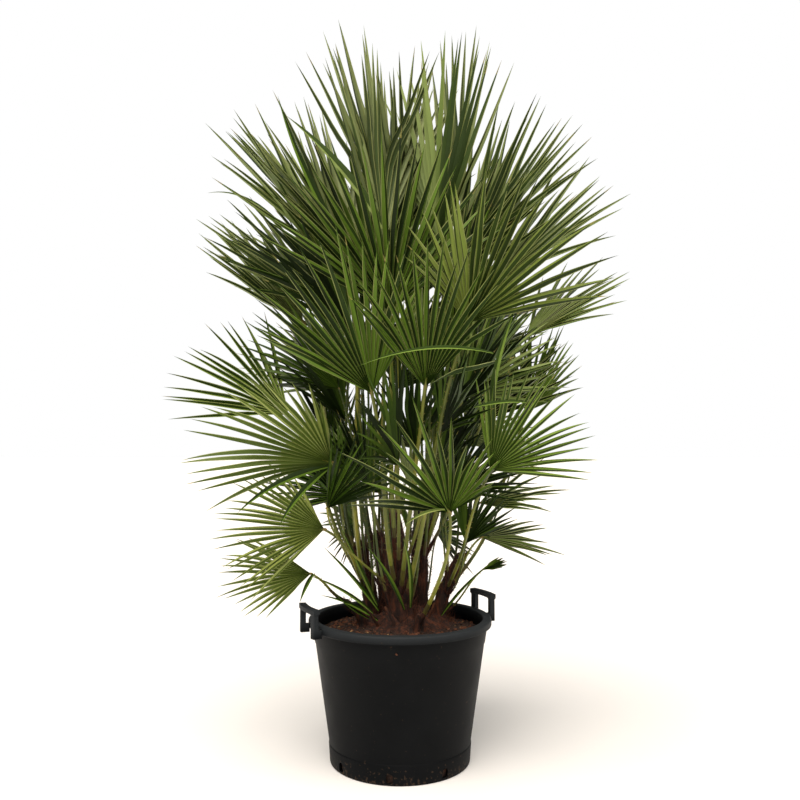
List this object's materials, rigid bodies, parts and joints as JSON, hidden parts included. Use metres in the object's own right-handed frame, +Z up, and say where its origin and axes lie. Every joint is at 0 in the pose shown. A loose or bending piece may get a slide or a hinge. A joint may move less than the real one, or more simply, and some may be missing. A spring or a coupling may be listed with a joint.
{
  "type": "potted fan palm",
  "caption": "Clump-forming fan palm with fibrous stems and stiff fans of pleated leaflets, in a tapered round nursery pot with two loop handles.",
  "frame": {"origin": "centre of the pot's flat underside", "axes": "+Z up along the pot's axis; -Y towards the front, the side the picture shows; +X to the right as seen from the front"},
  "size_m": [1.0433, 0.9274, 1.7052],
  "materials": {
    "pot": "moulded black polypropylene, dull, lightly dusty",
    "soil": "bark and peat substrate, loose chips",
    "stem": "matted red-brown leaf-base fibre",
    "frond": "stiff, satin, mid to deep green leaf"
  },
  "bodies": {
    "root": {"frond_centre_high": "frond", "frond_crown_left": "frond", "frond_crown_middle": "frond", "frond_crown_right": "frond", "frond_front_left": "frond", "frond_front_low": "frond", "frond_front_middle": "frond", "frond_front_right": "frond", "frond_left_droop": "frond", "frond_left_high": "frond", "frond_left_higher": "frond", "frond_left_inner": "frond", "frond_left_inner_high": "frond", "frond_left_low": "frond", "frond_left_mid": "frond", "frond_left_rear": "frond", "frond_left_side": "frond", "frond_left_skirt": "frond", "frond_low_inner": "frond", "frond_mid_inner": "frond", "frond_mid_inner_right": "frond", "frond_rear_1_1": "frond", "frond_rear_1_2": "frond", "frond_rear_1_3": "frond", "frond_rear_1_4": "frond", "frond_rear_2_1": "frond", "frond_rear_2_2": "frond", "frond_rear_2_3": "frond", "frond_rear_2_4": "frond", "frond_rear_2_5": "frond", "frond_rear_3_1": "frond", "frond_rear_3_2": "frond", "frond_rear_3_3": "frond", "frond_rear_3_4": "frond", "frond_rear_3_5": "frond", "frond_rear_4_1": "frond", "frond_rear_4_2": "frond", "frond_rear_4_3": "frond", "frond_rear_4_4": "frond", "frond_right_high": "frond", "frond_right_inner": "frond", "frond_right_low": "frond", "frond_right_mid": "frond", "frond_right_reach": "frond", "frond_right_side": "frond", "frond_right_skirt": "frond", "frond_right_upper": "frond", "frond_right_young": "frond", "handle_left": "pot", "handle_right": "pot", "pot": "pot", "soil": "soil", "stem_back": "stem", "stem_left": "stem", "stem_main": "stem", "stem_rear": "stem", "stem_right": "stem", "stem_sprout_front": "stem", "stem_sprout_left": "stem"}
  },
  "joints": []
}
